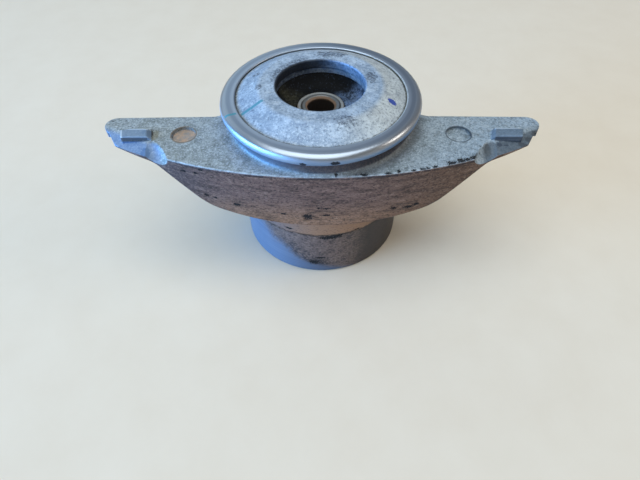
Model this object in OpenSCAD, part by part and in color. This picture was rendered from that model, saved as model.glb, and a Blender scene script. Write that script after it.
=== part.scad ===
// Damper top mount: a cast housing with two wings, closed by a pressed cover
// plate under a rolled rim, and a steel sleeve held between two rubber buffers.
// The axis of the damper rod is Z, the wings lie along X, and the open skirt
// stands on z = 0. The curved front of the wings faces -Y.

/* [Can] */
// Outer radius of the skirt at the open end
skirt_r = 33; // [30:0.1:34]
// Height of the straight part of the skirt
skirt_h = 23; // [10:0.5:26]
// Outer radius of the can above the skirt
can_r = 34.2; // [33.5:0.1:35.2]
// Height of the flare between the skirt and the can
flare_h = 8; // [2:0.5:9]
// Radius of the bump stop socket inside the skirt
socket_r = 28.4; // [24:0.1:30]
// Depth of the bump stop socket
socket_depth = 36; // [28:0.5:40]
// Thickness of the floor between the socket and the rubber chamber
floor_t = 4; // [3:0.5:6]
// Radius of the rod hole in the floor
rod_hole_r = 14; // [11:0.5:18]
// Radius of the rubber chamber
chamber_r = 28.8; // [26:0.1:30]
// Height of the rubber chamber, from the floor to the seat of the cover plate
chamber_h = 21.6; // [19:0.1:26]
// Chamfer on the outer edge of the skirt and on the edges of the rod hole
edge_chamfer = 0.8; // [0.2:0.1:1.5]

/* [Rolled rim] */
// Distance that the rolled rim stands out from the can
rim_out = 2.45; // [1.8:0.05:3.5]
// Radius of the rim's rounded outer edge
rim_edge_r = 2.2; // [1.2:0.05:2.4]
// Width of the rim's lip over the edge of the cover plate
lip_grip = 1.9; // [1:0.1:3]
// Radius of the lip's rounded inner edge
lip_edge_r = 0.4; // [0.3:0.05:0.6]
// Slope of the flare that carries the rim
rim_flare = 61; // [45:1:75]

/* [Cover plate] */
// Outer radius of the cover plate
cover_r = 33; // [32.6:0.1:33.4]
// Radial gap between the cover plate and the rim around it
cover_gap = 0.2; // [0.1:0.05:0.5]
// Thickness of the sheet
cover_t = 2.4; // [2:0.1:3]
// Height of the flat land above the seat
cover_h = 6.45; // [5.5:0.05:9]
// Outer radius of the flat land
land_r = 22.6; // [20:0.1:25]
// Radius of the bend between the land and the slope
land_bend_r = 4.4; // [2:0.1:8]
// Radius of the hole
hole_r = 16.1; // [14:0.1:18]
// Height of the upper part of the hole's wall
hole_wall_h = 3.1; // [2.5:0.1:3.5]
// Height of the turned-down collar under the hole
collar_h = 2.55; // [2:0.05:3]
// Step of the collar back from the hole's wall
collar_step = 0.6; // [0.3:0.1:1]
// Radius of the hole's upper edge
hole_edge = 0.6; // [0.2:0.1:0.8]

/* [Wings] */
// Length from tip to tip
wing_span = 159.4; // [150:0.2:170]
// Depth of the wings' top face below the seat of the cover plate
wing_drop = 6.1; // [4:0.1:8]
// Distance that the front wall stands in front of the can
front_out = 1.3; // [1:0.1:4]
// Radius of the curved front wall
front_arc_r = 157.7; // [150:0.1:200]
// Distance from the axis to the back edge, beside the can
wing_back = 1.3; // [0:0.1:4]
// Forward sweep of the back edge at the tips
back_sweep = 1.4; // [0:0.1:3]
// Radius of the hollow corner between the back edge and the can, seen from above
back_corner_r = 7.5; // [4:0.5:9]
// Radius of the rounded back corner of a tip
tip_r = 4.2; // [2:0.1:6]
// Inward lean of a tip's end over the depth of the wings
tip_lean = 17; // [8:0.5:20]
// Chamfer along the upper edge of the front wall
front_edge = 0.5; // [0.2:0.1:1.2]
// Radius of the fillet between the can and the wings' top face
root_fillet = 2; // [0.5:0.1:2.5]

/* [Hull] */
// Height of the front wall in the middle
wall_h = 23.6; // [18:0.1:26]
// Radius of the hull's lower edge in the middle
mid_radius = 150; // [120:1:200]
// Slope of the lower edge where the middle ends
mid_angle = 14; // [10:0.5:16]
// Radius of the bend between the middle and the flank
bend_radius = 20; // [15:0.5:30]
// Slope of the flanks
flank_angle = 41; // [36:0.5:46]
// Radius of the hollow between the flank and the tip
blend_radius = 6; // [4:0.5:12]
// Thickness of a tip where the flank has run out
tip_t = 2.8; // [2.2:0.1:4]
// Slope of a tip's underside
tip_angle = 5; // [2:0.5:7]
// Width of the stiffening rib under the back edge
rib_w = 6; // [4:0.5:8]
// Depth of the stiffening rib under the hull
rib_drop = 3; // [1:0.1:4]

/* [Lugs and scoops] */
// Length of a locating lug
lug_l = 9.5; // [7:0.1:11]
// Width of a locating lug
lug_w = 5; // [4:0.1:6]
// Height of a locating lug above the wing
lug_h = 1.7; // [1:0.1:3]
// Chamfer along a lug's upper edges
lug_edge = 0.4; // [0.1:0.1:0.8]
// Run of the slope at a lug's inner end
lug_ramp = 1.6; // [0.5:0.1:2.5]
// Slant of a lug's ends over its width
lug_skew = 1.2; // [0:0.1:2]
// Distance from a wing's tip to the lug's outer end
lug_inset = 7.4; // [6:0.1:10]
// Distance from the axis to the lug's back face
lug_back = 11.1; // [9:0.1:12]
// Radius of the scoop in front of a lug
scoop_r = 4.5; // [3.5:0.1:6]
// Downward slope of the scoop towards the front
scoop_angle = 20; // [14:0.5:22]
// Inward turn of the scoop, seen from above
scoop_turn = 22; // [15:1:30]
// Slope of the bevel across the front corner of a tip
bevel_angle = 14; // [10:0.5:18]
// Direction of that bevel, seen from above
bevel_turn = 64; // [58:1:68]
// Length of the tip's flat face behind the bevel, along the end
bevel_start = 4.2; // [3:0.1:5]
// Length of the bevel's upper edge
bevel_l = 24.2; // [20:0.1:26]

/* [Bolts] */
// Distance between the two bolt holes
bolt_spacing = 99; // [94:0.5:104]
// Distance from the axis to the line of bolt holes
bolt_front = 12.6; // [11:0.1:15]
// Radius of the core hole for the bolt's thread
bolt_hole_r = 3.4; // [2.5:0.05:4.3]
// Radius of the bolt's boss
boss_r = 8; // [7:0.1:8.5]
// Distance from the wing's top face down to the boss's seat
boss_h = 12; // [10:0.1:14]
// Radius of the round mark in the top face above each bolt hole
mark_r = 4.35; // [3:0.05:5]
// Depth of that mark
mark_depth = 1.2; // [0.6:0.1:2]
// Thickness left between the mark and the end of the bolt hole
skin_t = 1.5; // [1:0.1:2.5]
// Width of the spot face round each boss
spot_margin = 1; // [0.5:0.1:2]

/* [Coring] */
// Wall left between the can and the coring slot
core_wall = 3; // [2:0.1:4]
// Width of the coring slot beside the can
core_w = 4.8; // [3:0.1:5]
// Thickness of the wing above the coring slot
core_roof = 6.5; // [5:0.1:9]
// Wall left in front of the coring slot
core_front_wall = 6; // [4:0.1:8]

/* [Sleeve and core plate] */
// Radius of the sleeve's bore
bore_r = 5.1; // [4:0.05:5.5]
// Outer radius of the sleeve
sleeve_r = 7.3; // [6.6:0.05:7.6]
// Length of the sleeve
sleeve_l = 22.3; // [18:0.1:24]
// Depth of the sleeve's upper end below the cover plate's land
sleeve_sink = 8.75; // [7:0.05:10]
// Chamfer of the bore
bore_chamfer = 0.8; // [0.3:0.1:1]
// Chamfer of the sleeve's outer edges
sleeve_chamfer = 0.5; // [0.2:0.1:0.7]
// Wall of the core plate's drawn neck
neck_t = 1.45; // [1:0.05:2]
// Depth of the neck's rim below the sleeve's end
neck_sink = 0.25; // [0.1:0.05:1]
// Rounding of the neck's rim
neck_round = 0.5; // [0.2:0.05:0.6]
// Thickness of the core plate
plate_t = 2.5; // [2:0.1:3]
// Radius of the neck's root
neck_fillet = 2; // [1:0.1:3]

/* [Rubber buffers] */
// Thickness of the lower buffer under the core plate
lower_t = 8; // [5:0.1:9]
// Gap between the rubber and the pieces beside it
rubber_gap = 0.3; // [0.2:0.05:0.5]
// Thickness of the lower buffer's lip around the core plate
lip_t = 3.6; // [2:0.1:6]
// Height of the lower buffer's lip above the core plate
lip_h = 1.5; // [0.5:0.1:3]
// Bore radius of the lower buffer
lower_bore_r = 10.5; // [9:0.1:13]
// Depth of the upper buffer's inner edge below the sleeve's end
bowl_sink = 0.9; // [0.5:0.1:2]
// Width of the upper buffer's flat inner edge
bowl_lip = 0.9; // [0.5:0.1:1.5]
// Depth of the bowl below its inner edge
bowl_dip = 0.4; // [0.1:0.1:1]
// Height of the chamfer on the upper buffer's outer edge
shoulder = 2; // [1:0.1:3]

/* [Hidden] */
round_fn = 96;
arc_steps = 6;
bowl_steps = 8;
over = 1;
reach = 100;
bite = 0.05;

floor_top = socket_depth + floor_t;
seat_z = floor_top + chamber_h;
lip_z = seat_z + cover_t;
land_z = seat_z + cover_h;
rim_top = lip_z + 2 * lip_edge_r;
pocket_r = cover_r + cover_gap;
rim_r = max(can_r, pocket_r) + rim_out;
lip_r = cover_r - lip_grip;
wing_top = seat_z - wing_drop;
wing_front = can_r + front_out;
hull_z = wing_top - wall_h;
tip_x = wing_span / 2;
arc_centre = front_arc_r - wing_front;
back_tip = wing_back + back_sweep;

sleeve_top = land_z - sleeve_sink;
neck_top = sleeve_top - neck_sink;
neck_r = sleeve_r + neck_t;
plate_z = floor_top + lower_t;
plate_top = plate_z + plate_t;
collar_r = hole_r + collar_step;
collar_z = land_z - hole_wall_h - collar_h;
buffer_r = chamber_r - rubber_gap;
lip_inner_r = buffer_r - lip_t;
plate_r = lip_inner_r - rubber_gap;
bolt_seat = wing_top - boss_h;
bolt_hole_end = wing_top - mark_depth - skin_t;
lug_out = tip_x - lug_inset;
lug_front = lug_back + lug_w;

// Steps along an arc whose slope goes from a0 to a1. A negative radius bends down.
function bend(r, a0, a1) = [
    for (i = [1:arc_steps])
        let (a = a0 + (a1 - a0) * i / arc_steps)
            [r * (sin(a) - sin(a0)), r * (cos(a0) - cos(a))]
];
function shift(points, by) = [for (p = points) p + by];
function last(points) = points[len(points) - 1];

// The hull's lower edge from the middle to the tip: arc, bend, flank, hollow, tip
mid_edge = shift(bend(mid_radius, 0, mid_angle), [0, hull_z]);
bend_edge = shift(bend(bend_radius, mid_angle, flank_angle), last(mid_edge));
hollow = bend(-blend_radius, flank_angle, tip_angle);
flank_rise = wing_top - tip_t - last(hollow)[1] - last(bend_edge)[1];
flank_end = last(bend_edge) + [flank_rise / tan(flank_angle), flank_rise];
hollow_edge = shift(hollow, flank_end);
tip_run = tip_x + over - last(hollow_edge)[0];
tip_end = last(hollow_edge) + [tip_run, tip_run * tan(tip_angle)];
hull_edge = concat([[0, hull_z]], mid_edge, bend_edge, [flank_end], hollow_edge, [tip_end]);

// Front view of the right half of the hull
module hull_half() {
    polygon(concat(hull_edge, [[tip_end[0], wing_top], [0, wing_top]]));
}

module hull_body(depth) {
    rotate([90, 0, 0])
        linear_extrude(depth)
            for (side = [0, 1])
                mirror([side, 0])
                    hull_half();
}

// Hollow corner between the right wing's back edge and the can. It bites a little
// into both, so that its ends cross them instead of only touching.
module back_corner() {
    from_axis = can_r + back_corner_r;
    edge_y = -wing_back - back_sweep * from_axis / (tip_x - tip_r);
    centre_y = edge_y - bite + back_corner_r;
    centre = [sqrt(pow(from_axis - bite, 2) - pow(centre_y, 2)), centre_y];
    difference() {
        polygon([
            [can_r - over, edge_y - over],
            [centre[0], edge_y - over],
            centre,
            centre * (can_r - over) / from_axis,
        ]);
        translate(centre)
            circle(r = back_corner_r, $fn = round_fn);
    }
}

// Plan of the right wing: a straight back, a rounded tip and a hollow corner at the can
module wing_plan_half() {
    back_corner();
    translate([tip_x - tip_r, -back_tip - tip_r])
        circle(r = tip_r, $fn = round_fn);
    polygon([
        [-over, -wing_back],
        [0, -wing_back],
        [tip_x - tip_r, -back_tip],
        [tip_x - tip_r, -back_tip - tip_r],
        [tip_x, -back_tip - tip_r],
        [tip_x - tip_lean, -wing_front],
        [-over, -wing_front],
    ]);
}

module wing_plan() {
    for (side = [0, 1])
        mirror([side, 0])
            wing_plan_half();
}

// The curved front, with a chamfer along its upper edge
module front_curve() {
    translate([0, arc_centre, hull_z - rib_drop])
        cylinder(r = front_arc_r, h = wall_h + rib_drop - front_edge, $fn = 2 * round_fn);
    translate([0, arc_centre, wing_top - front_edge])
        cylinder(r1 = front_arc_r, r2 = front_arc_r - front_edge, h = front_edge, $fn = 2 * round_fn);
}

module wing_body() {
    intersection() {
        front_curve();
        translate([0, 0, hull_z - rib_drop])
            linear_extrude(wall_h + rib_drop)
                wing_plan();
        union() {
            translate([0, back_corner_r, 0])
                hull_body(back_corner_r + wing_front + over);
            translate([0, back_corner_r, -rib_drop])
                hull_body(back_corner_r + back_tip + rib_w);
            translate([-tip_x, -back_tip - rib_w, wing_top - tip_t])
                cube([wing_span, back_tip + rib_w, tip_t]);
        }
    }
}

// Outer body of the can, with the skirt and the flare
module can_body() {
    cylinder(r1 = skirt_r - edge_chamfer, r2 = skirt_r, h = edge_chamfer, $fn = round_fn);
    translate([0, 0, edge_chamfer])
        cylinder(r = skirt_r, h = skirt_h - edge_chamfer, $fn = round_fn);
    translate([0, 0, skirt_h])
        cylinder(r1 = skirt_r, r2 = can_r, h = flare_h, $fn = round_fn);
    translate([0, 0, skirt_h + flare_h])
        cylinder(r = can_r, h = seat_z - skirt_h - flare_h, $fn = round_fn);
}

// Section of the rim that was rolled over the cover plate
module rim_section() {
    edge_x = rim_r - rim_edge_r;
    edge_z = rim_top - rim_edge_r;
    edge_under = edge_z - rim_edge_r;
    root_z = edge_under - max(edge_x - can_r, 0) * tan(rim_flare);
    lip_x = lip_r + lip_edge_r;
    translate([edge_x, edge_z])
        circle(r = rim_edge_r, $fn = round_fn);
    translate([lip_x, lip_z + lip_edge_r])
        circle(r = lip_edge_r, $fn = round_fn);
    polygon([
        [lip_x, lip_z],
        [lip_x, rim_top],
        [edge_x, rim_top],
        [edge_x, edge_under],
        [min(can_r, edge_x), root_z],
        [chamber_r, root_z],
        [chamber_r, lip_z],
    ]);
}

// Fillet round the can where it rises from the wings
module root_fillet_ring() {
    intersection() {
        rotate_extrude($fn = round_fn)
            translate([can_r, wing_top])
                difference() {
                    translate([-over, -over])
                        square(root_fillet + over);
                    translate([root_fillet, root_fillet])
                        circle(r = root_fillet, $fn = round_fn);
                }
        translate([0, 0, hull_z])
            linear_extrude(wall_h + root_fillet)
                wing_plan();
        translate([0, arc_centre, hull_z])
            cylinder(r = front_arc_r - front_edge, h = wall_h + root_fillet, $fn = 2 * round_fn);
    }
}

module can_hollow() {
    translate([0, 0, -over])
        cylinder(r = socket_r, h = socket_depth + over, $fn = round_fn);
    translate([0, 0, socket_depth - over])
        cylinder(r = rod_hole_r, h = floor_t + 2 * over, $fn = round_fn);
    translate([0, 0, socket_depth])
        cylinder(r1 = rod_hole_r + edge_chamfer, r2 = rod_hole_r, h = edge_chamfer, $fn = round_fn);
    translate([0, 0, floor_top])
        cylinder(r = chamber_r, h = chamber_h + over, $fn = round_fn);
    translate([0, 0, seat_z])
        cylinder(r = pocket_r, h = cover_t, $fn = round_fn);
}

// Scoop in front of the right lug and bevel across the front corner of the tip
module scoop() {
    translate([lug_out - lug_l - lug_skew, -lug_front, wing_top])
        rotate([0, 0, -scoop_turn])
            rotate([90 + scoop_angle, 0, 0])
                translate([0, scoop_r, -over])
                    cylinder(r = scoop_r, h = wing_front, $fn = round_fn);
}

module tip_bevel() {
    translate([tip_x, -back_tip - bevel_start, wing_top])
        rotate([0, 0, -bevel_turn])
            rotate([0, bevel_angle, 0])
                translate([0, -bevel_l, 0])
                    cube([reach, reach, reach]);
}

// Locating lug of the right wing, rooted in the wing, with its long upper edges
// chamfered and its inner end sloped
module lug() {
    root = tip_t / 2;
    top = root + lug_h;
    foot = lug_l + lug_ramp + over;
    translate([lug_out, -lug_back, wing_top - root])
        intersection() {
            linear_extrude(top)
                polygon([[0, 0], [-foot, 0], [-foot - lug_skew, -lug_w], [-lug_skew, -lug_w]]);
            translate([-lug_l, 0, 0])
                rotate([0, 0, -atan2(lug_skew, lug_w)])
                    translate([0, over, 0])
                        rotate([90, 0, 0])
                            linear_extrude(lug_w + lug_skew + 2 * over)
                                polygon([
                                    [0, top],
                                    [-lug_ramp, root],
                                    [-lug_ramp, 0],
                                    [lug_l + lug_skew, 0],
                                    [lug_l + lug_skew, top],
                                ]);
            rotate([90, 0, -90])
                linear_extrude(foot + lug_skew)
                    polygon([
                        [0, 0],
                        [0, top - lug_edge],
                        [lug_edge, top],
                        [lug_w - lug_edge, top],
                        [lug_w, top - lug_edge],
                        [lug_w, 0],
                    ]);
        }
}

module boss() {
    translate([bolt_spacing / 2, -bolt_front, bolt_seat])
        cylinder(r = boss_r, h = boss_h - mark_depth, $fn = round_fn);
}

// Spot face, bolt hole and round mark, on one axis
module bolt_cuts() {
    translate([bolt_spacing / 2, -bolt_front, 0]) {
        translate([0, 0, hull_z - rib_drop - over])
            cylinder(r = boss_r + spot_margin, h = bolt_seat - hull_z + rib_drop + over, $fn = round_fn);
        translate([0, 0, bolt_seat - over])
            cylinder(r = bolt_hole_r, h = bolt_hole_end - bolt_seat + over, $fn = round_fn);
        translate([0, 0, wing_top - mark_depth])
            cylinder(r = mark_r, h = mark_depth + over, $fn = round_fn);
    }
}

// Curved slot that cores out the thick root of the right wing from below
module coring_slot() {
    slot_r = can_r + core_wall;
    slot_y = -back_tip - rib_w;
    slot_front = arc_centre - sqrt(pow(front_arc_r, 2) - pow(slot_r, 2)) + core_front_wall;
    intersection() {
        translate([0, 0, hull_z - over])
            difference() {
                cylinder(r = slot_r + core_w, h = wall_h - core_roof + over, $fn = round_fn);
                translate([0, 0, -over])
                    cylinder(r = slot_r, h = wall_h + 2 * over, $fn = round_fn);
            }
        translate([0, slot_front, hull_z - over])
            cube([slot_r + core_w, slot_y - slot_front, wall_h]);
    }
}

module housing() {
    color("slategray") {
        difference() {
            union() {
                can_body();
                wing_body();
                root_fillet_ring();
                rotate_extrude($fn = round_fn)
                    rim_section();
                for (side = [0, 1])
                    mirror([side, 0, 0])
                        boss();
            }
            can_hollow();
            for (side = [0, 1])
                mirror([side, 0, 0]) {
                    scoop();
                    tip_bevel();
                    bolt_cuts();
                    coring_slot();
                }
        }
        for (side = [0, 1])
            mirror([side, 0, 0])
                lug();
    }
}

// Section of the cover plate, from the collar up over the land and down the slope
module cover_section() {
    collar_outer = collar_r + cover_t - collar_step;
    under_z = land_z - cover_t;
    slope_angle = atan2(land_z - lip_z, lip_r - land_r);
    bend_start = land_r - land_bend_r * tan(slope_angle / 2);
    hole_top = land_z - hole_edge;
    polygon(concat(
        [
            [collar_r, collar_z],
            [collar_r, land_z - hole_wall_h - collar_step],
            [hole_r, land_z - hole_wall_h],
            [hole_r, hole_top],
        ],
        shift(bend(-hole_edge, 90, 0), [hole_r, hole_top]),
        [[bend_start, land_z]],
        shift(bend(-land_bend_r, 0, -slope_angle), [bend_start, land_z]),
        [
            [lip_r, lip_z],
            [cover_r, lip_z],
            [cover_r, seat_z],
            [lip_r - cover_t, seat_z],
            [bend_start, under_z],
            [collar_outer + collar_step, under_z],
            [collar_outer, under_z - collar_step],
            [collar_outer, collar_z],
        ]
    ));
}

module cover_plate() {
    color("silver")
        rotate_extrude($fn = round_fn)
            cover_section();
}

// Section of the upper buffer: a bowl that rises from the neck to the collar
module upper_section() {
    bowl_z = sleeve_top - bowl_sink;
    inner_r = neck_r + rubber_gap;
    rise_r = collar_r - inner_r - bowl_lip;
    rise_z = collar_z - bowl_z;
    step_r = lip_inner_r - rubber_gap;
    step_z = plate_top + lip_h + rubber_gap;
    bowl = [
        for (i = [0:bowl_steps])
            let (t = i / bowl_steps)
                [inner_r + bowl_lip + rise_r * t, bowl_z + rise_z * t * t - bowl_dip * sin(180 * t)]
    ];
    polygon(concat(
        [[inner_r, plate_top + neck_fillet], [inner_r, bowl_z]],
        bowl,
        [
            [buffer_r - shoulder, collar_z],
            [buffer_r, collar_z - shoulder],
            [buffer_r, step_z],
            [step_r, step_z],
            [step_r, plate_top],
            [inner_r + neck_fillet, plate_top],
        ]
    ));
}

module upper_rubber() {
    color("dimgray")
        rotate_extrude($fn = round_fn)
            upper_section();
}

module lower_rubber() {
    color("dimgray")
        rotate_extrude($fn = round_fn)
            polygon([
                [lower_bore_r, floor_top],
                [buffer_r, floor_top],
                [buffer_r, plate_top + lip_h],
                [lip_inner_r, plate_top + lip_h],
                [lip_inner_r, plate_z],
                [lower_bore_r, plate_z],
            ]);
}

module core_plate() {
    color("gainsboro")
        rotate_extrude($fn = round_fn)
            difference() {
                union() {
                    translate([sleeve_r, plate_z])
                        square([plate_r - sleeve_r, plate_t]);
                    translate([sleeve_r, plate_z])
                        square([neck_t, neck_top - plate_z - neck_round]);
                    translate([sleeve_r + neck_round, neck_top - 2 * neck_round])
                        square([neck_t - 2 * neck_round, 2 * neck_round]);
                    for (x = [sleeve_r + neck_round, neck_r - neck_round])
                        translate([x, neck_top - neck_round])
                            circle(r = neck_round, $fn = round_fn);
                    translate([neck_r, plate_top])
                        square(neck_fillet);
                }
                translate([neck_r + neck_fillet, plate_top + neck_fillet])
                    circle(r = neck_fillet, $fn = round_fn);
            }
}

module inner_sleeve() {
    color("lightgray")
        translate([0, 0, sleeve_top - sleeve_l])
            rotate_extrude($fn = round_fn)
                polygon([
                    [bore_r + bore_chamfer, 0],
                    [sleeve_r - sleeve_chamfer, 0],
                    [sleeve_r, sleeve_chamfer],
                    [sleeve_r, sleeve_l - sleeve_chamfer],
                    [sleeve_r - sleeve_chamfer, sleeve_l],
                    [bore_r + bore_chamfer, sleeve_l],
                    [bore_r, sleeve_l - bore_chamfer],
                    [bore_r, bore_chamfer],
                ]);
}

housing();
cover_plate();
upper_rubber();
lower_rubber();
core_plate();
inner_sleeve();
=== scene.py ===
"""Looks of the damper top mount: worn cast aluminium, zinc cover, dusty rubber, light and camera.

Every place inside a material is in millimetres of the part's own frame: the rod's axis is Z,
the wings lie along X and the curved front wall faces -Y.
"""

import math

import bpy
from mathutils import Matrix, Vector


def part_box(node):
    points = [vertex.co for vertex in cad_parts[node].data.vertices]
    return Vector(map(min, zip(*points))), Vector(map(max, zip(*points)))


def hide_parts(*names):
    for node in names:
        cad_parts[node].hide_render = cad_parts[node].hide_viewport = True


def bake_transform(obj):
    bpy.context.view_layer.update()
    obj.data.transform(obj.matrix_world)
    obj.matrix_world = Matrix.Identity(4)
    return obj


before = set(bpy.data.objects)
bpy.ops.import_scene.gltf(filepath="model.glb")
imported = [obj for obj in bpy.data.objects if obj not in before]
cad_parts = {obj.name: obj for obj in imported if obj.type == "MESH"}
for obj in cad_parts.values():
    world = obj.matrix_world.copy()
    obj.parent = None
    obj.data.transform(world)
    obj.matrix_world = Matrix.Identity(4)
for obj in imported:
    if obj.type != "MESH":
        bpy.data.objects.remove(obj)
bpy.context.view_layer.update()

MM = 0.001


# Sizes of the part, in millimetres, taken from a node's box where the box gives them


def top_of(node):
    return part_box(node)[1].z / MM


def foot_of(node):
    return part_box(node)[0].z / MM


WING_TOP = 55.5
RIM_TOP = top_of("housing")
RIM_ROOT = 59.95
RIM_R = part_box("housing")[1].y / MM
RIM_EDGE_R = 2.2
CAN_R = 34.2
FLARE_Z = 23.0
LIP_R = 31.1
LAND_R = 22.6
HOLE_R = 16.1
COLLAR_R = 16.7
COLLAR_Z = top_of("upper_rubber")
SLEEVE_TOP = top_of("inner_sleeve")
SLEEVE_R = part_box("inner_sleeve")[1].x / MM
BORE_R = 5.1
PLATE_Z = foot_of("core_plate")
PLATE_TOP = foot_of("upper_rubber")
FLOOR_TOP = foot_of("lower_rubber")
NECK_R = 8.75
BUFFER_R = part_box("upper_rubber")[1].x / MM
FRONT_ARC_R = 157.7
FRONT_ARC_Y = 122.2
MARK_X = 49.5
MARK_Y = -12.6
MARK_R = 4.35
TIP_X = 58.0
LUG_BACK = -11.1
LUG_FRONT = -16.1
LUG_TOP = WING_TOP + 1.7
LUG_X = 66.35
LUG_HALF = 4.6
LUG_OUT = 72.3
LUG_SKEW = 0.24


# Shader helpers


def srgb(red, green, blue):
    """A colour written as 0 to 255 display values, as the linear colour that a shader takes."""
    def linear(value):
        share = value / 255
        return share / 12.92 if share <= 0.04045 else ((share + 0.055) / 1.055) ** 2.4
    return (linear(red), linear(green), linear(blue), 1.0)


class Field:
    """A number or colour that varies over a surface, with plain arithmetic."""

    def __init__(self, graph, socket):
        self.graph = graph
        self.socket = socket

    def __add__(self, other):
        return self.graph.math("ADD", self, other)

    def __sub__(self, other):
        return self.graph.math("SUBTRACT", self, other)

    def __rsub__(self, other):
        return self.graph.math("SUBTRACT", other, self)

    def __mul__(self, other):
        return self.graph.math("MULTIPLY", self, other)

    def __truediv__(self, other):
        return self.graph.math("DIVIDE", self, other)

    __radd__ = __add__
    __rmul__ = __mul__


class Graph:
    """One procedural material, with short names for the nodes that it is made of."""

    def __init__(self, name):
        self.material = bpy.data.materials.new(name)
        self.material.use_nodes = True
        self.tree = self.material.node_tree
        self.tree.nodes.clear()
        place = self.node("ShaderNodeTexCoord").outputs["Object"]
        scaled = self.node("ShaderNodeVectorMath")
        scaled.operation = "SCALE"
        scaled.inputs["Scale"].default_value = 1 / MM
        self.tree.links.new(place, scaled.inputs[0])
        self.place = Field(self, scaled.outputs[0])
        split = self.node("ShaderNodeSeparateXYZ")
        self.tree.links.new(scaled.outputs[0], split.inputs[0])
        self.x, self.y, self.z = (Field(self, socket) for socket in split.outputs)

    def node(self, kind):
        return self.tree.nodes.new(kind)

    def put(self, socket, value):
        if isinstance(value, Field):
            self.tree.links.new(value.socket, socket)
        else:
            socket.default_value = value

    def math(self, operation, *values):
        node = self.node("ShaderNodeMath")
        node.operation = operation
        for socket, value in zip(node.inputs, values):
            self.put(socket, value)
        return Field(self, node.outputs[0])

    def smooth(self, value, low, high):
        """0 at low, 1 at high and an even turn between them. Low may lie above high."""
        node = self.node("ShaderNodeMapRange")
        node.interpolation_type = "SMOOTHSTEP"
        self.put(node.inputs["Value"], value)
        node.inputs["From Min"].default_value = low
        node.inputs["From Max"].default_value = high
        return Field(self, node.outputs[0])

    def vector(self, x, y, z):
        node = self.node("ShaderNodeCombineXYZ")
        for socket, value in zip(node.inputs, (x, y, z)):
            self.put(socket, value)
        return Field(self, node.outputs[0])

    def noise(self, scale, detail=2.0, roughness=0.55, place=None):
        """Soft noise from 0 to 1. The scale is in cells for each millimetre."""
        node = self.node("ShaderNodeTexNoise")
        self.put(node.inputs["Vector"], place or self.place)
        node.inputs["Scale"].default_value = scale
        node.inputs["Detail"].default_value = detail
        node.inputs["Roughness"].default_value = roughness
        return Field(self, node.outputs["Fac"])

    def mix(self, share, first, second):
        """The first colour where share is 0, and the second where it is 1."""
        node = self.node("ShaderNodeMix")
        node.data_type = "RGBA"
        self.put(node.inputs[0], share)
        self.put(node.inputs[6], first)
        self.put(node.inputs[7], second)
        return Field(self, node.outputs[2])

    def blend(self, share, first, second):
        """The same for plain numbers."""
        node = self.node("ShaderNodeMix")
        self.put(node.inputs[0], share)
        self.put(node.inputs[2], first)
        self.put(node.inputs[3], second)
        return Field(self, node.outputs[0])

    def radius(self, x0=0.0, y0=0.0):
        """Distance from an upright line through x0, y0."""
        across = self.x - x0
        along = self.y - y0
        return self.math("SQRT", across * across + along * along)

    def band(self, value, middle, half, soft):
        """1 within half of the middle, fading to 0 over soft."""
        away = self.math("ABSOLUTE", value - middle)
        return self.smooth(away, half + soft, half)

    def spot(self, first, second, middle, half, ragged):
        """1 inside an ellipse in two coordinates, with an edge that the field called ragged breaks up."""
        across = (first - middle[0]) / half[0]
        along = (second - middle[1]) / half[1]
        away = self.math("SQRT", across * across + along * along)
        return self.smooth(away + ragged, 1.15, 0.85)

    def stroke(self, start, end, width, ragged):
        """1 along a straight stroke of paint, seen from above."""
        run = Vector(end) - Vector(start)
        length = run.length
        unit = run / length
        along = (self.x - start[0]) * unit.x + (self.y - start[1]) * unit.y
        across = (self.y - start[1]) * unit.x - (self.x - start[0]) * unit.y
        inside = self.band(along, length / 2, length / 2, 0.3)
        return inside * self.smooth(self.math("ABSOLUTE", across) + ragged, width, width * 0.6)

    def strongest(self, masks):
        result = masks[0]
        for mask in masks[1:]:
            result = self.math("MAXIMUM", result, mask)
        return result

    def crevice(self, reach):
        """1 in corners and gaps, 0 on open faces."""
        node = self.node("ShaderNodeAmbientOcclusion")
        node.samples = 8
        node.only_local = True
        node.inputs["Distance"].default_value = reach * MM
        return 1.0 - Field(self, node.outputs["AO"])

    def finish(self, colour, metallic, roughness, height, depth, edge, shine=0.5):
        """The shader itself, with height in 0 to 1 standing depth millimetres proud and edges rounded."""
        rounded = self.node("ShaderNodeBevel")
        rounded.samples = 6
        rounded.inputs["Radius"].default_value = edge * MM
        bump = self.node("ShaderNodeBump")
        bump.inputs["Distance"].default_value = depth * MM
        self.put(bump.inputs["Height"], height)
        self.tree.links.new(rounded.outputs[0], bump.inputs["Normal"])
        shader = self.node("ShaderNodeBsdfPrincipled")
        self.put(shader.inputs["Base Color"], colour)
        self.put(shader.inputs["Metallic"], metallic)
        self.put(shader.inputs["Roughness"], roughness)
        shader.inputs["Specular IOR Level"].default_value = shine
        self.tree.links.new(bump.outputs[0], shader.inputs["Normal"])
        output = self.node("ShaderNodeOutputMaterial")
        self.tree.links.new(shader.outputs[0], output.inputs["Surface"])
        return self.material


# Housing: one casting, with its own finish on the wings, front wall, rim and skirt

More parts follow.
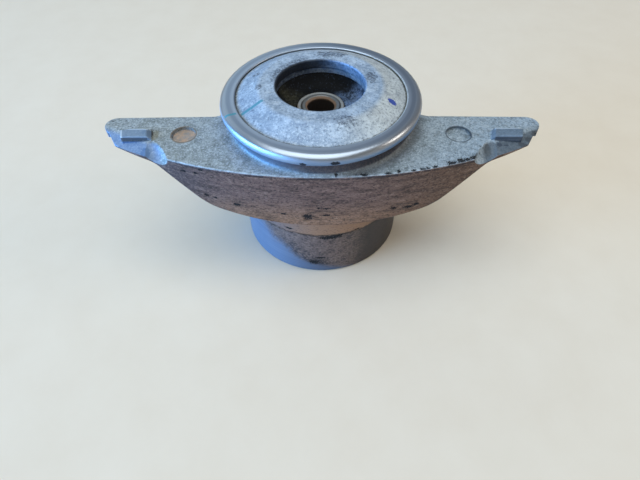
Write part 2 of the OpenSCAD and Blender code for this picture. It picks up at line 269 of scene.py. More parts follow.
# Dark pits on the front wall: place along X, height, half width and half height
WALL_PITS = [
    (-4.6, 36.4, 1.7, 1.3),
    (2.0, 37.3, 1.6, 0.5),
    (-0.7, 40.9, 0.7, 0.4),
    (1.9, 40.7, 1.4, 0.4),
    (-13.2, 37.5, 1.0, 0.4),
    (-47.4, 52.1, 0.9, 0.5),
    (-43.0, 52.3, 0.9, 0.4),
    (-40.8, 54.2, 0.8, 0.4),
    (-40.7, 42.3, 1.1, 0.6),
    (-37.7, 41.8, 0.9, 0.4),
    (-30.0, 40.0, 1.2, 0.6),
    (26.1, 38.8, 1.2, 0.5),
    (31.5, 38.5, 1.8, 0.6),
    (34.1, 39.3, 1.3, 0.6),
]
# Dark smears on the skirt under the wall: place along X, height, half width and half height
SKIRT_PITS = [
    (3.5, 21.7, 4.2, 0.9),
    (6.5, 22.3, 1.8, 0.7),
    (-12.3, 25.2, 1.4, 0.5),
    (14.1, 23.6, 1.2, 0.4),
    (-0.3, 9.2, 2.0, 0.5),
    (-2.8, 6.1, 2.4, 1.2),
]
# Black pits under the rim's front edge: place along X, height, half width and half height
RIM_PITS = [(-5.4, 61.7, 1.1, 0.8), (4.9, 62.3, 1.6, 0.8)]
# Black chips along the right half of the front edge: place along X and Y, half width along X and Y
EDGE_CHIPS = [
    (5.3, -34.5, 0.5, 0.5),
    (14.5, -34.1, 1.3, 0.5),
    (22.6, -33.3, 1.2, 0.5),
    (26.3, -32.3, 0.6, 0.7),
    (31.3, -31.9, 0.7, 0.5),
    (34.3, -31.3, 1.0, 0.6),
    (36.2, -30.9, 0.7, 0.6),
    (38.8, -30.3, 0.9, 0.8),
    (44.7, -28.3, 2.0, 0.9),
    (48.0, -27.0, 1.5, 1.2),
    (50.4, -26.5, 1.3, 0.9),
    (53.2, -25.6, 2.2, 1.1),
    (54.2, -24.4, 0.9, 1.0),
]
# Stains on and beside the lugs, and the painted shadow beside the left lug: place along X and Y, half width
# along X and Y, colour, strength
TIP_STAINS_AND_SHADOW = [
    (-60.2, -13.0, 1.8, 2.8, srgb(122, 116, 92), 0.6),
    # Dirt and painted shadow of the left lug, on the wing beside its inner end
    (-61.6, -12.8, 1.1, 3.0, srgb(44, 40, 36), 0.85),
    (-63.4, -13.3, 0.5, 1.3, srgb(52, 78, 104), 0.7),
    (-61.8, -21.3, 1.7, 2.6, srgb(58, 76, 92), 0.7),
    (63.1, -17.9, 1.0, 0.9, srgb(40, 52, 82), 0.8),
    (65.4, -18.0, 0.9, 0.4, srgb(40, 52, 82), 0.8),
    (58.6, -19.8, 1.2, 2.4, srgb(84, 84, 76), 0.6),
    (71.5, -17.0, 1.7, 1.0, srgb(64, 50, 38), 0.75),
    (74.5, -14.5, 1.6, 1.3, srgb(64, 50, 38), 0.75),
    (77.0, -11.8, 1.2, 1.5, srgb(64, 50, 38), 0.7),
]
TEAL = srgb(42, 120, 130)
# Fall of the rim's crowned top, in steps of the casting's bump
CROWN_DROP = 3.0
RIM_STROKE = ((-32.8, -14.5), (-29.2, -13.1))
COVER_STROKE = ((-27.2, -13.2), (-19.9, -10.1))


class Casting(Graph):
    """The housing's material, with the noises and zones that its finishes share."""

    def __init__(self):
        super().__init__("cast_aluminium_worn")
        self.r = self.radius()
        self.turn = self.math("ARCTAN2", self.y, self.x)
        self.behind_front = FRONT_ARC_R - self.radius(0.0, FRONT_ARC_Y)

        self.grain = self.noise(0.95, 4.0, 0.78)
        self.fine = self.noise(1.7, 2.0, 0.65)
        self.patch = self.noise(0.13, 3.0, 0.55)
        self.blotch = self.noise(0.28, 4.0, 0.7)
        self.ragged = (self.noise(1.8, 4.0, 0.8) - 0.5) * 4.4
        along_wall = self.vector(self.x * 0.12, self.y * 0.12, self.z * 0.6)
        self.streak = self.noise(1.0, 4.0, 0.65, along_wall)
        self.speck = self.noise(1.0, 3.0, 0.7, self.vector(self.x, self.y, self.z * 2.2))
        round_can = self.vector(self.turn * 0.6, self.r * 0.3, self.z * 2.4)
        self.lathe = self.noise(1.0, 2.0, 0.5, round_can)
        round_rim = self.vector(self.turn * 1.5, self.r * 2.2, self.z * 2.2)
        self.rolled = self.noise(1.0, 3.0, 0.6, round_rim)

        self.rim = self.smooth(self.z, RIM_ROOT - 0.3, RIM_ROOT + 0.6)
        self.can = self.smooth(self.r, CAN_R + 0.5, CAN_R + 0.15) * (1.0 - self.rim)
        self.wall = self.smooth(self.behind_front, 0.3, 0.12) * (1.0 - self.can)
        self.top = self.smooth(self.z, WING_TOP - 0.4, WING_TOP - 0.1) * (1.0 - self.rim) * (1.0 - self.can)
        self.front = self.smooth(self.y, 0.0, -12.0)
        self.under_rim = self.smooth(self.z, WING_TOP - 0.5, WING_TOP + 0.5)
        self.under_wing = self.smooth(self.z, WING_TOP, WING_TOP - 2.0)


def wing_colour(g):
    """Sand-cast top: mottled grey with pale grains, painted lighter and bluer towards the right, a few dark
    dots, stains at the tips and a painted shadow beside the left lug.
    """
    mottle = g.noise(0.34, 4.0, 0.65)
    speckle = g.noise(1.35, 2.5, 0.6)
    dots = g.smooth(g.noise(0.75, 2.0, 0.5), 0.69, 0.73)
    colour = g.mix(g.smooth(g.patch, 0.3, 0.7), srgb(145, 151, 149), srgb(164, 171, 173))
    # Painted light: lighter and bluer towards the right, as the light falls on the wings
    colour = g.mix(g.smooth(g.x, 15.0, 60.0) * 0.6, colour, srgb(166, 187, 206))
    colour = g.mix(g.smooth(mottle, 0.5, 0.64) * 0.5, colour, srgb(110, 118, 118))
    colour = g.mix(g.smooth(mottle, 0.48, 0.36) * 0.4, colour, srgb(190, 200, 204))
    colour = g.mix(g.smooth(g.grain, 0.56, 0.36) * 0.5, colour, srgb(90, 98, 100))
    colour = g.mix(g.smooth(speckle, 0.46, 0.3) * 0.5, colour, srgb(78, 86, 88))
    colour = g.mix(g.smooth(speckle, 0.54, 0.7) * 0.55, colour, srgb(212, 220, 226))
    colour = g.mix(g.smooth(g.fine, 0.54, 0.68) * 0.35, colour, srgb(206, 214, 220))
    colour = g.mix(dots * 0.65, colour, srgb(58, 64, 70))
    for x, y, half_x, half_y, tip_mark_colour, strength in TIP_STAINS_AND_SHADOW:
        tip_mark = g.spot(g.x, g.y, (x, y), (half_x, half_y), g.ragged * 0.5)
        colour = g.mix(tip_mark * strength, colour, tip_mark_colour)
    return colour


def lug_colour(g, colour):
    """Lugs: greyer on top, a painted highlight along the back and the outer end, and painted shade on the
    front side.
    """
    from_middle = g.math("ABSOLUTE", g.x)
    lug = g.smooth(from_middle, TIP_X - 1.0, TIP_X) * g.smooth(g.z, WING_TOP + 0.25, WING_TOP + 0.5)
    grey = g.mix(g.smooth(g.x, -30.0, 30.0), srgb(120, 142, 166), srgb(94, 112, 130))
    colour = g.mix(lug * 0.75, colour, grey)
    # Painted shade on the front side of each lug
    front_shade = g.band(g.y, LUG_FRONT, 0.08, 0.1) * g.band(from_middle, LUG_X, LUG_HALF, 0.2)
    front_shade = front_shade * g.smooth(g.z, LUG_TOP - 0.2, LUG_TOP - 0.5)
    colour = g.mix(front_shade * 0.8, colour, srgb(76, 78, 84))
    # Painted highlight along the back and the outer end of each lug
    left_end = g.smooth(g.x * -1.0 + (LUG_BACK - g.y) * LUG_SKEW, LUG_OUT - 0.8, LUG_OUT - 0.4)
    recoloured = g.strongest([g.smooth(g.y, LUG_BACK - 1.1, LUG_BACK - 0.6), left_end])
    recoloured = recoloured * lug * g.smooth(g.z, LUG_TOP - 0.5, LUG_TOP - 0.3)
    return g.mix(recoloured * 0.7, colour, srgb(206, 218, 228))


def tip_colour(g, colour):
    """Scoop and bevel of each tip: the right one darker, the left one painted with the blue light of the
    window lamp.
    """
    below = g.smooth(g.z, WING_TOP - 0.1, WING_TOP - 0.6)
    colour = g.mix(below * g.smooth(g.x, TIP_X - 3.0, TIP_X) * 0.75, colour, srgb(66, 75, 84))
    # Painted blue light of the window lamp on the left scoop and bevel
    return g.mix(below * g.smooth(g.x, 3.0 - TIP_X, -TIP_X) * 0.55, colour, srgb(95, 135, 186))


def wall_colour(g):
    """Front wall: a brownish base, tanner towards its lower edge, that is a painted reflection of a wooden
    table, with dirt smeared along its length.
    """
    # Painted reflection of a wooden table, tanner low down and redder at the right; the left end is darker
    colour = g.mix(g.smooth(g.z, 46.0, 33.0), srgb(124, 100, 94), srgb(154, 120, 97))
    colour = g.mix(g.smooth(g.x, -28.0, -56.0) * 0.7, colour, srgb(66, 64, 72))
    colour = g.mix(g.smooth(g.x, 5.0, 50.0) * 0.7, colour, srgb(106, 82, 64))
    colour = g.mix(g.smooth(g.streak, 0.46, 0.66) * 0.65, colour, srgb(70, 58, 55))
    colour = g.mix(g.smooth(g.streak, 0.46, 0.32) * 0.35, colour, srgb(168, 142, 128))
    colour = g.mix(g.smooth(g.speck, 0.51, 0.63) * 0.7, colour, srgb(46, 39, 39))
    colour = g.mix(g.smooth(g.speck, 0.44, 0.32) * 0.32, colour, srgb(182, 162, 148))
    under_edge = g.band(g.z, WING_TOP - 0.8, 0.2, 0.35) * g.smooth(g.streak + g.speck, 0.8, 1.05)
    return g.mix(under_edge * 0.75, colour, srgb(42, 40, 48))


def dirt_and_reflection_colour(g, above_edge):
    """Brown dirt on the skirt, rubbed black low down beside its slanting edge, and darker at the right as a
    painted reflection of a shaded table.
    """
    left = g.smooth(g.x, 20.0, 8.0)
    rubbed = g.band(above_edge, 2.5, 1.5, 6.0) * g.smooth(g.z, 19.0, 13.0)
    # Darker at the right: painted reflection of a shaded table
    colour = g.mix(g.smooth(g.x, 4.0, 20.0), srgb(118, 100, 94), srgb(66, 57, 51))
    colour = g.mix(rubbed * g.smooth(g.blotch, 0.32, 0.56) * 0.9, colour, srgb(38, 36, 42))
    colour = g.mix(g.smooth(g.blotch, 0.5, 0.64) * 0.6, colour, srgb(50, 43, 42))
    colour = g.mix(g.smooth(g.blotch, 0.48, 0.34) * left * 0.5, colour, srgb(148, 128, 114))
    colour = g.mix(g.smooth(g.speck, 0.5, 0.62) * 0.65, colour, srgb(50, 43, 43))
    return g.mix(g.smooth(g.speck, 0.5, 0.38) * left * 0.5, colour, srgb(156, 138, 128))


def can_colour(g):
    """Turned skirt: painted blue window light and painted shade at the front, smudged above a slanting edge,
    a painted reflection of wood on the flare and dirt with painted shade under the rim.
    """
    turned = g.smooth(g.lathe, 0.3, 0.7)
    colour = g.mix(turned, srgb(122, 126, 130), srgb(140, 144, 146))
    # Painted blue light of the window lamp on the front of the skirt, with painted shade towards the right
    window_lit = g.mix(turned, srgb(104, 126, 156), srgb(120, 140, 166))
    window_lit = g.mix(g.smooth(g.x, -20.0, 2.0) * 0.75, window_lit, srgb(82, 94, 116))
    colour = g.mix(g.smooth(g.y, 6.0, -8.0), colour, window_lit)

    above_edge = g.x + g.z + (g.patch - 0.5) * 10.0 + (g.grain - 0.5) * 12.0
    # Where the brown dirt and its painted reflection lie
    smudge_and_reflection = g.smooth(above_edge, -8.0, 3.0) * g.smooth(g.z + g.x * 0.3, 2.5, 6.0) * g.front * g.under_wing
    colour = g.mix(smudge_and_reflection * 0.9, colour, dirt_and_reflection_colour(g, above_edge))

    # Tan on the flare: a painted reflection of a wooden table, pinker at the left
    flare = g.smooth(g.z, FLARE_Z - 0.3, FLARE_Z + 0.3) * g.front * g.under_wing
    tan = g.mix(g.smooth(g.x, -24.0, 0.0), srgb(138, 123, 124), srgb(166, 131, 107))
    tan = g.mix(g.smooth(g.speck, 0.52, 0.66) * 0.55, tan, srgb(66, 56, 52))
    colour = g.mix(flare * g.smooth(g.x, 28.0, 16.0) * 0.85, colour, tan)
    # Broken dark line in the crease at the flare: dirt and painted shade
    crease = g.band(g.z, FLARE_Z, 0.2, 0.7) * g.front * g.smooth(g.speck + g.streak, 0.8, 1.05)
    colour = g.mix(crease * 0.9, colour, srgb(44, 38, 38))

    # Dirt and painted shade under the rim at the front, lighter at the left where the window lamp lights the
    # can
    under_rim_dirt_and_shade = g.smooth(g.x, -16.0, -4.0) * 0.4 + 0.45
    dirt_and_shade_colour = g.mix(g.smooth(g.grain, 0.42, 0.6), srgb(52, 48, 55), srgb(84, 73, 72))
    return g.mix(g.under_rim * g.front * under_rim_dirt_and_shade, colour, dirt_and_shade_colour)


def hollow_colour(g, colour, cast):
    """Hollow corner round the can: the grain of the wings runs up under the rim, darkened as painted shade,
    and a painted shadow of the rim lies on the wing at the front right.
    """
    near_can = g.smooth(g.r, CAN_R + 2.3, CAN_R + 1.6)
    # The wing's grain, darkened as painted shade, carried up the hollow corner
    climbing = g.under_rim * near_can * g.smooth(g.z, WING_TOP + 3.6, WING_TOP + 0.4)
    shaded = g.mix(0.35, cast, srgb(56, 62, 74))
    colour = g.mix(climbing * (g.smooth(g.x, 0.0, -12.0) * 0.5 + 0.15), colour, shaded)
    # Painted shadow of the rim on the wing at the front right
    rim_shadow = g.smooth(g.r, CAN_R + 5.5, CAN_R + 1.5) * g.top * g.front * g.smooth(g.x, -4.0, 14.0)
    return g.mix(rim_shadow * 0.5, colour, srgb(84, 78, 72))


def rim_finish(g):
    """Colour and roughness of the burnished rim, with fine rolled lines, painted reflections on it and a
    painted highlight along the lip at the right.
    """
    flat_r = RIM_R - RIM_EDGE_R
    flat = g.smooth(g.r, flat_r + 0.4, flat_r - 0.8) * g.smooth(g.z, RIM_TOP - 0.5, RIM_TOP - 0.2)
    low = g.smooth(g.z, RIM_TOP - 0.9, RIM_TOP - 2.4)
    side = g.smooth(g.z, RIM_TOP - 0.6, RIM_TOP - 1.6)
    # Painted reflection of the blue window lamp below the crest, brighter at the left
    low_reflection = g.mix(g.smooth(g.x, -2.0, -16.0), srgb(120, 154, 196), srgb(166, 200, 236))
    colour = g.mix(g.rolled, srgb(156, 163, 172), srgb(188, 194, 202))
    colour = g.mix(flat * 0.5, colour, srgb(158, 170, 190))
    colour = g.mix(low * 0.8, colour, low_reflection)
    # Painted reflections on the top: a darker band before the crest and a lighter strip by the lip
    colour = g.mix(g.band(g.r, RIM_R - 3.0, 0.5, 0.7) * flat * 0.35, colour, srgb(112, 120, 132))
    colour = g.mix(g.smooth(g.r, LIP_R + 1.6, LIP_R + 0.7) * flat * 0.4, colour, srgb(198, 206, 214))
    # Painted highlight along the lip at the right
    lip_highlight = g.band(g.r, LIP_R + 0.15, 0.2, 0.25) * g.smooth(g.x, 4.0, 20.0)
    lip_highlight = lip_highlight * g.smooth(g.grain, 0.35, 0.5)
    colour = g.mix(lip_highlight * 0.8, colour, srgb(226, 234, 242))
    roughness = g.blend(flat, 0.3, 0.36) + (g.rolled - 0.5) * 0.12 + side * 0.24
    return colour, roughness


def edge_colour(g, colour):
    """Painted highlight along the upper edge of the front wall, broken by noise."""
    edge = g.smooth(g.behind_front, 1.0, 0.4) * g.smooth(g.z, WING_TOP - 0.55, WING_TOP - 0.25)
    edge = edge * (1.0 - g.rim) * g.smooth(g.noise(0.5, 4.0, 0.75), 0.38, 0.6)
    return g.mix(edge * 0.3, colour, srgb(206, 216, 226))


def black_spots(g):
    """Pits and smears where the real casting has them, and chips along the right front edge."""
    spots = [g.spot(g.x, g.z, (x, z), (w, h), g.ragged) * g.wall for x, z, w, h in WALL_PITS]
    spots += [g.spot(g.x, g.z, (x, z), (w, h), g.ragged) * g.can * g.front for x, z, w, h in SKIRT_PITS]
    low_rim = g.rim * g.smooth(g.y, -30.0, -33.0)
    spots += [g.spot(g.x, g.z, (x, z), (w, h), g.ragged * 0.4) * low_rim for x, z, w, h in RIM_PITS]
    spots += [g.spot(g.x, g.y, (x, y), (w, h), g.ragged) * g.top for x, y, w, h in EDGE_CHIPS]
    spots.append(g.smooth(g.speck, 0.7, 0.75) * g.wall)
    along_edge = g.vector(g.x * 0.45, g.behind_front * 0.9, g.z * 0.9)
    crumbs = g.smooth(g.noise(1.0, 3.0, 0.65, along_edge) + (g.blotch - 0.5) * 0.25, 0.64, 0.68)
    spots.append(crumbs * g.smooth(g.behind_front, 2.2, 1.2) * g.smooth(g.x, 0.0, 20.0) * g.top)
    return g.strongest(spots)


def mark_finish(g, colour):
    """Tan staining in the left mark and a dark ring of dirt and painted shade on the wall of the right one,
    with the mask of that tan staining.
    """
    from_left = g.radius(-MARK_X, MARK_Y)
    stained = g.smooth(from_left, MARK_R + 0.1, MARK_R - 0.3) * g.smooth(g.z, WING_TOP - 0.3, WING_TOP - 0.8)
    tan = g.mix(g.smooth(g.noise(0.45, 3.0), 0.35, 0.65), srgb(142, 130, 120), srgb(184, 150, 122))
    colour = g.mix(stained * 0.85, colour, tan)
    ring = g.band(from_left, MARK_R, 0.25, 0.5) * g.top * g.smooth(g.patch + g.grain, 0.75, 1.05)
    colour = g.mix(ring * 0.7, colour, srgb(112, 84, 48))
    from_right = g.radius(MARK_X, MARK_Y)
    # Dirt and painted shade on the wall of the right mark
    right_ring_dirt_and_shade = g.band(from_right, MARK_R + 0.1, 0.16, 0.3) * g.smooth(g.z, WING_TOP - 0.9, WING_TOP - 0.4)
    return g.mix(right_ring_dirt_and_shade * 0.75, colour, srgb(70, 80, 90)), stained


def cast_aluminium():
    g = Casting()
    cast = tip_colour(g, lug_colour(g, wing_colour(g)))
    colour = g.mix(g.wall, cast, wall_colour(g))
    colour = g.mix(g.can, colour, can_colour(g))
    colour = hollow_colour(g, colour, cast)
    rim_colour, rim_roughness = rim_finish(g)
    colour = g.mix(g.rim, colour, rim_colour)
    colour = edge_colour(g, colour)
    black = black_spots(g)
    colour = g.mix(black * 0.96, colour, srgb(12, 11, 12))
    colour, stained = mark_finish(g, colour)
    stroke = g.stroke(*RIM_STROKE, 0.7, (g.grain - 0.5) * 0.6) * g.rim
    colour = g.mix(stroke * 0.9, colour, TEAL)
    # Dirt and painted shade in corners, placed by occlusion
    corner_dirt_and_shade = g.smooth(g.crevice(1.0), 0.3, 0.8) * (1.0 - g.rim)
    colour = g.mix(corner_dirt_and_shade * 0.5, colour, srgb(58, 52, 48))

    metallic = g.blend(g.rim, 0.45, 1.0) * (1.0 - black) * (1.0 - stroke) * (1.0 - stained)
    roughness = g.blend(g.can, g.blend(g.grain, 0.5, 0.75), 0.46)
    roughness = g.blend(g.rim, roughness, rim_roughness)
    roughness = g.blend(black, roughness, 0.95)

    turned = g.can * (1.0 - g.under_rim)
    height = g.blend(turned, g.grain * 0.7 + g.fine * 0.3, g.lathe * 0.3)
    crown = g.smooth(g.r, LIP_R + 0.4, RIM_R - 0.6) * CROWN_DROP
    height = g.blend(g.rim, height, g.rolled * 0.1 - crown) - black * 0.8
    return g.finish(colour, metallic, roughness, height, 0.12, 0.5)


# Cover plate: zinc-coated sheet, mottled and smudged

# Dark smudges: place along X and Y, half width along X and Y
COVER_SMUDGES = [
    (18.4, 4.0, 2.0, 3.6),
    (4.6, 20.4, 6.2, 2.3),
    (-22.1, -2.0, 1.0, 2.2),
    (-23.9, 7.9, 1.4, 1.2),
    (8.7, -21.1, 3.6, 2.2),
]
# Smear beside the hole: middle and half of its turn round the axis, in radians
HOLE_SMEAR = (2.45, 0.42)
BLUE_DOT = (24.9, -8.6)
BLUE_DOT_HALF = (1.65, 1.15)
BLUE_DOT_TURN = math.radians(-33)


def zinc_cover():
    g = Graph("zinc_cover_mottled")
    r = g.radius()
    turn = g.math("ARCTAN2", g.y, g.x)
    grain = g.noise(1.1, 4.0, 0.72)
    fine = g.noise(1.4, 2.5, 0.6)
    patch = g.noise(0.16, 4.0, 0.6)
    blotch = g.noise(0.42, 4.0, 0.7)
    ragged = (g.noise(0.6, 4.0, 0.75) - 0.5) * 2.2

    # Painted light: bluish at the left, warmer and paler on the slope at the right
    warm = g.smooth(g.x, 2.0, 22.0) * g.smooth(r, LAND_R - 1.0, LAND_R + 1.5)
    pale = g.mix(warm, srgb(179, 194, 210), srgb(212, 219, 220))
    grey = g.mix(warm, srgb(147, 162, 178), srgb(188, 194, 196))
    colour = g.mix(g.smooth(patch, 0.35, 0.65), grey, pale)
    colour = g.mix(g.smooth(grain, 0.5, 0.64) * 0.5, colour, srgb(108, 120, 134))
    slope = g.smooth(r, LAND_R - 0.5, LAND_R + 1.5)
    bloom = g.noise(0.9, 4.0, 0.75)
    colour = g.mix(slope * g.smooth(g.x, 14.0, -8.0) * 0.5, colour, srgb(138, 149, 160))
    colour = g.mix(g.smooth(bloom, 0.54, 0.68) * (slope * 0.4 + 0.15), colour, srgb(214, 222, 228))
    colour = g.mix(g.smooth(blotch, 0.5, 0.64) * 0.4, colour, srgb(104, 118, 138))
    colour = g.mix(g.smooth(blotch, 0.48, 0.34) * 0.4, colour, srgb(214, 222, 228))
    colour = g.mix(g.smooth(fine, 0.44, 0.3) * 0.5, colour, srgb(216, 224, 230))
    colour = g.mix(g.smooth(fine, 0.57, 0.7) * (slope * 0.15 + 0.5), colour, srgb(72, 84, 102))

    smudges = g.strongest([g.spot(g.x, g.y, (x, y), (w, h), ragged) for x, y, w, h in COVER_SMUDGES])
    colour = g.mix(smudges * g.smooth(grain, 0.3, 0.6) * 0.8, colour, srgb(66, 76, 90))
    smear = g.band(r, HOLE_R + 1.0, 0.8, 1.8) * g.band(turn, *HOLE_SMEAR, 0.35)
    colour = g.mix(smear * g.smooth(grain, 0.32, 0.58) * 0.75, colour, srgb(62, 70, 84))
    # Painted highlight where the land turns down into the slope
    bend_highlight = g.band(r, LAND_R, 0.3, 0.9)
    colour = g.mix(bend_highlight * 0.08, colour, srgb(208, 216, 224))

    # Hole wall: painted blue light of the window lamp, darker at the back left
    in_hole = g.smooth(r, HOLE_R + 0.9, HOLE_R + 0.1)
    back_left_dark = in_hole * g.smooth(g.x + (patch - 0.5) * 10.0 + (grain - 0.5) * 16.0, 8.0, -3.0)
    colour = g.mix(in_hole * 0.4, colour, srgb(50, 88, 136))
    colour = g.mix(back_left_dark * 0.9, colour, srgb(30, 32, 36))
    colour = g.mix(in_hole * g.smooth(grain, 0.5, 0.66) * 0.5, colour, srgb(40, 48, 62))

    # Dirt packed into the gap under the rim's lip, with pale crumbs at the right
    gap = g.smooth(r + (grain - 0.5) * 1.2, LIP_R - 0.9, LIP_R - 0.25)
    colour = g.mix(gap * 0.85, colour, srgb(58, 54, 40))
    right = g.smooth(g.x, 12.0, 22.0)
    crumbs = g.smooth(r, LIP_R - 1.3, LIP_R - 0.6) * g.smooth(fine, 0.58, 0.66) * right
    colour = g.mix(crumbs * 0.8, colour, srgb(206, 208, 200))

    # Paint: a stroke that lines up with the rim's, and a dot
    stroke = g.stroke(*COVER_STROKE, 0.8, (grain - 0.5) * 0.7)
    colour = g.mix(stroke * 0.85, colour, TEAL)
    cos, sin = math.cos(BLUE_DOT_TURN), math.sin(BLUE_DOT_TURN)
    along = (g.x - BLUE_DOT[0]) * cos + (g.y - BLUE_DOT[1]) * sin
    across = (g.y - BLUE_DOT[1]) * cos - (g.x - BLUE_DOT[0]) * sin
    dot = g.spot(along, across, (0.0, 0.0), BLUE_DOT_HALF, (grain - 0.5) * 1.4)
    colour = g.mix(dot * 0.95, colour, srgb(14, 56, 150))

    paint = g.strongest([stroke, dot, gap])
    metallic = (1.0 - paint) * 0.4
    roughness = g.blend(grain, 0.42, 0.66)
    height = grain * 0.6 + fine * 0.2 + crumbs * 0.5 - gap * 0.4
    return g.finish(colour, metallic, roughness, height, 0.08, 0.4)


# Rubber, core plate and sleeve


def dusty_rubber():
    g = Graph("black_rubber_dusty")
    grain = g.noise(1.3, 4.0, 0.7)
    patch = g.noise(0.2, 3.0, 0.6)
    right = g.smooth(g.x, -6.0, 6.0)
    # Dust painted with the light that falls on it: olive at the left, which faces the warm lamp, blue at the
    # right, which faces the window lamp
    lit_dust_colour = g.mix(right, srgb(92, 88, 68), srgb(132, 156, 190))
    side = g.smooth(g.math("ABSOLUTE", g.x), 3.0, 10.0)
    near = g.smooth(g.y, 11.0, 6.0)
    dust = side * near * g.smooth(grain * 0.5 + patch * 0.6, 0.4, 0.7)
    colour = g.mix(g.smooth(grain, 0.56, 0.7) * 0.2, srgb(6, 6, 7), srgb(110, 124, 150))
    colour = g.mix(dust * g.blend(right, 0.4, 0.65), colour, lit_dust_colour)
    roughness = g.blend(dust, 0.7, 0.95)
    return g.finish(colour, 0.0, roughness, grain, 0.08, 0.3, shine=0.15)


def core_steel():
    """Drawn neck of the core plate: pale rim from wear, with brown at its outer edge."""
    g = Graph("core_steel_worn")
    r = g.radius()
    grain = g.noise(1.6, 3.0, 0.7)
    patch = g.noise(0.35, 3.0, 0.6)
    colour = g.mix(grain, srgb(126, 128, 128), srgb(172, 172, 168))
    outer = g.smooth(r + (patch - 0.5) * 1.2, NECK_R - 0.6, NECK_R - 0.1)
    colour = g.mix(outer * 0.8, colour, srgb(118, 98, 78))
    groove = g.smooth(r, SLEEVE_R + 0.4, SLEEVE_R + 0.1)
    colour = g.mix(groove * 0.6, colour, srgb(72, 66, 60))
    return g.finish(colour, g.blend(outer, 0.4, 0.0), g.blend(grain, 0.45, 0.65), grain, 0.05, 0.3)


def sleeve_steel():
    """Machined sleeve: grey end face, rusty chamfer and a dark bore."""
    g = Graph("sleeve_steel_rusty")
    r = g.radius()
    grain = g.noise(1.8, 3.0, 0.7)
    patch = g.noise(0.4, 3.0, 0.6)
    colour = g.mix(grain, srgb(108, 108, 106), srgb(150, 148, 144))
    groove = g.smooth(r, SLEEVE_R - 0.45, SLEEVE_R - 0.15)
    colour = g.mix(groove * 0.6, colour, srgb(66, 60, 54))
    rust = g.smooth(r + (patch - 0.5) * 0.8, BORE_R + 0.75, BORE_R + 0.4)
    colour = g.mix(rust * 0.8, colour, g.mix(grain, srgb(104, 74, 50), srgb(156, 116, 80)))
    bore = g.smooth(g.z, SLEEVE_TOP - 0.7, SLEEVE_TOP - 1.6)
    colour = g.mix(bore * 0.95, colour, srgb(28, 20, 14))
    recoloured = g.strongest([rust, bore])
    return g.finish(colour, g.blend(recoloured, 0.75, 0.15), g.blend(recoloured, 0.38, 0.75), grain, 0.05, 0.25)


for node, material in (
    ("housing", cast_aluminium()),
    ("cover_plate", zinc_cover()),
    ("core_plate", core_steel()),
    ("inner_sleeve", sleeve_steel()),
):
    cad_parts[node].material_slots[0].material = material


# Rubber buffers between the housing and the core, drawn as smooth rings in place of the rubber nodes of
# model.glb

SEGMENTS = 128
SMOOTH_BELOW = math.radians(40)
RUBBER_GAP = 0.3
BUFFER_LIP_R = 24.9
BUFFER_LIP_H = 1.5
LOWER_BORE_R = 10.5
INNER_R = NECK_R + RUBBER_GAP
INNER_BEVEL = 0.3
NECK_FILLET = 2.0
SHOULDER = 2.0
BOWL_Z = SLEEVE_TOP - 0.9
BOWL_LIP = 0.9
BOWL_DIP = 0.4
BOWL_STEPS = 24


def revolve(name, profile):
    """A closed ring with smooth faces, from points (radius, height) in millimetres."""
    count = len(profile)
    points = []
    for step in range(SEGMENTS):
        angle = 2 * math.pi * step / SEGMENTS
        points += [(r * math.cos(angle) * MM, r * math.sin(angle) * MM, z * MM) for r, z in profile]
    faces = []
    for step in range(SEGMENTS):
        here, there = step * count, (step + 1) % SEGMENTS * count
        for i in range(count):
            j = (i + 1) % count
            faces.append((here + i, here + j, there + j, there + i))
    mesh = bpy.data.meshes.new(name)
    mesh.from_pydata(points, [], faces)
    mesh.update()
    mesh.shade_smooth()
    mesh.set_sharp_from_angle(angle=SMOOTH_BELOW)
    piece = bpy.data.objects.new(name, mesh)
    bpy.context.scene.collection.objects.link(piece)
    return piece


def bowl_points():
    """The bowl of the upper buffer, from its inner lip out to the collar."""
    start_r = INNER_R + BOWL_LIP
    points = []
    for step in range(BOWL_STEPS + 1):
        t = step / BOWL_STEPS
        z = BOWL_Z + (COLLAR_Z - BOWL_Z) * t * t - BOWL_DIP * math.sin(math.pi * t)
        points.append((start_r + (COLLAR_R - start_r) * t, z))
    return points


def upper_section():
    """Between the core plate and the cover, with a step over the lower buffer's lip."""
    step_r = BUFFER_LIP_R - RUBBER_GAP
    step_z = PLATE_TOP + BUFFER_LIP_H + RUBBER_GAP
    return [
        (INNER_R + NECK_FILLET, PLATE_TOP),
        (INNER_R, PLATE_TOP + NECK_FILLET),
        (INNER_R, BOWL_Z - INNER_BEVEL),
        (INNER_R + INNER_BEVEL, BOWL_Z),
        *bowl_points(),
        (BUFFER_R - SHOULDER, COLLAR_Z),
        (BUFFER_R, COLLAR_Z - SHOULDER),
        (BUFFER_R, step_z),
        (step_r, step_z),
        (step_r, PLATE_TOP),
    ]


def lower_section():
    """Between the housing's floor and the core plate, with a lip round the plate."""
    lip_z = PLATE_TOP + BUFFER_LIP_H
    return [
        (LOWER_BORE_R, FLOOR_TOP),
        (LOWER_BORE_R, PLATE_Z),
        (BUFFER_LIP_R, PLATE_Z),
        (BUFFER_LIP_R, lip_z),
        (BUFFER_R, lip_z),
        (BUFFER_R, FLOOR_TOP),
    ]


rubber = dusty_rubber()
upper = revolve("upper_buffer", upper_section())
lower = revolve("lower_buffer", lower_section())
for piece, node, fixed_z, moving_z in (
    (upper, "upper_rubber", COLLAR_Z, PLATE_TOP),
    (lower, "lower_rubber", FLOOR_TOP, PLATE_Z),
):
    piece.data.materials.append(rubber)
    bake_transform(piece)
    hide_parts(node)


# Floor, light and camera: places and sizes in metres, unless a name says otherwise

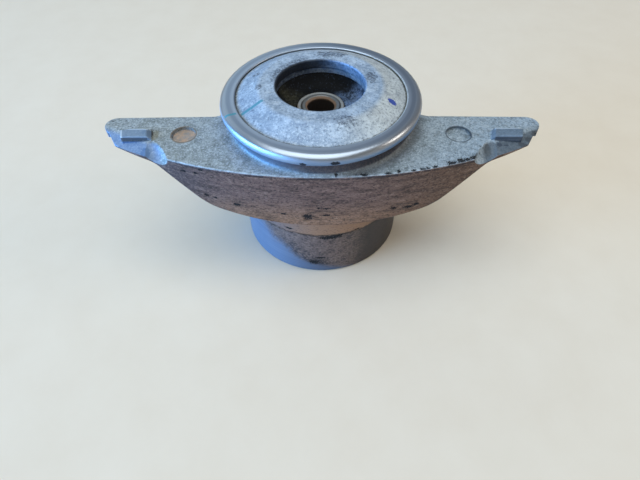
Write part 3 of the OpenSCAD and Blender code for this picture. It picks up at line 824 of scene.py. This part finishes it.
FLOOR_HALF = 4.0
FLOOR_DROP_MM = 0.02
LAMP_TARGET = Vector((0.0, 0.0, 0.04))
CAMERA_PLACE_MM = Vector((2.192, -152.298, 164.04))
CAMERA_FORWARD = Vector((-0.01381, 0.63899, -0.76909))
CAMERA_UP = Vector((-0.00065, 0.76915, 0.63906))
SENSOR_MM = 36
FOCAL_MM = 27
NEAREST_SEEN = 0.01
# Light of the room: the side that it is coolest on, its two colours and its strength
COOL_SIDE = (-0.8, 0.6, 0.0)
COOL_ROOM = (0.74, 0.96, 1.22, 1.0)
WARM_ROOM = (0.6, 0.57, 0.54, 1.0)
ROOM_STRENGTH = 0.38


def floor():
    g = Graph("pale_floor")
    grain = g.noise(0.05, 4.0, 0.6)
    colour = g.mix(grain, srgb(226, 208, 184), srgb(234, 218, 196))
    z = -FLOOR_DROP_MM * MM
    corners = [(x * FLOOR_HALF, y * FLOOR_HALF, z) for x, y in ((-1, -1), (1, -1), (1, 1), (-1, 1))]
    mesh = bpy.data.meshes.new("floor")
    mesh.from_pydata(corners, [], [(0, 1, 2, 3)])
    mesh.materials.append(g.finish(colour, 0.0, 0.85, grain, 0.02, 0.1, shine=0.1))
    plane = bpy.data.objects.new("floor", mesh)
    bpy.context.scene.collection.objects.link(plane)


def area_light(name, place, size, power, colour, spread=180):
    """A soft lamp that points at the part, with its power in watts and its spread in degrees."""
    lamp = bpy.data.lights.new(name, "AREA")
    lamp.shape = "RECTANGLE"
    lamp.size, lamp.size_y = size
    lamp.energy = power
    lamp.color = colour
    lamp.spread = math.radians(spread)
    holder = bpy.data.objects.new(name, lamp)
    bpy.context.scene.collection.objects.link(holder)
    holder.location = place
    aim = LAMP_TARGET - holder.location
    holder.rotation_euler = aim.to_track_quat("-Z", "Y").to_euler()


def camera():
    """The camera that was fitted to the circles of the part in the photograph."""
    forward = CAMERA_FORWARD.normalized()
    right = forward.cross(CAMERA_UP.normalized()).normalized()
    upward = right.cross(forward)
    lens = bpy.data.cameras.new("camera")
    lens.sensor_width = SENSOR_MM
    lens.lens = FOCAL_MM
    lens.clip_start = NEAREST_SEEN
    holder = bpy.data.objects.new("camera", lens)
    bpy.context.scene.collection.objects.link(holder)
    turned = Matrix((right, upward, -forward)).transposed().to_4x4()
    holder.matrix_world = Matrix.Translation(CAMERA_PLACE_MM * MM) @ turned
    bpy.context.scene.camera = holder


def sky():
    """An even room: cool towards the back left, warm and dimmer towards the front right."""
    world = bpy.data.worlds.new("studio")
    world.use_nodes = True
    nodes, links = world.node_tree.nodes, world.node_tree.links
    direction = nodes.new("ShaderNodeTexCoord")
    towards = nodes.new("ShaderNodeVectorMath")
    towards.operation = "DOT_PRODUCT"
    towards.inputs[1].default_value = COOL_SIDE
    links.new(direction.outputs["Generated"], towards.inputs[0])
    side = nodes.new("ShaderNodeMapRange")
    side.inputs["From Min"].default_value = -0.7
    side.inputs["From Max"].default_value = 0.8
    links.new(towards.outputs["Value"], side.inputs["Value"])
    tint = nodes.new("ShaderNodeMix")
    tint.data_type = "RGBA"
    tint.inputs[6].default_value = WARM_ROOM
    tint.inputs[7].default_value = COOL_ROOM
    links.new(side.outputs[0], tint.inputs[0])
    background = nodes["Background"]
    background.inputs["Strength"].default_value = ROOM_STRENGTH
    links.new(tint.outputs[2], background.inputs["Color"])
    bpy.context.scene.world = world


floor()
area_light("window", (-1.0, -0.35, 0.16), (1.0, 0.45), 6.8, (0.16, 0.47, 1.0), spread=80)
area_light("ceiling", (-0.07, -0.18, 1.0), (1.1, 1.1), 8.5, (0.84, 0.94, 1.0))
area_light("back", (-0.7, 1.0, 0.6), (1.6, 0.9), 2.1, (0.72, 0.9, 1.0))
area_light("room", (0.95, 0.0, 0.55), (0.35, 0.35), 1.6, (1.0, 0.9, 0.78))
sky()
bpy.context.scene.view_settings.view_transform = "Standard"
camera()
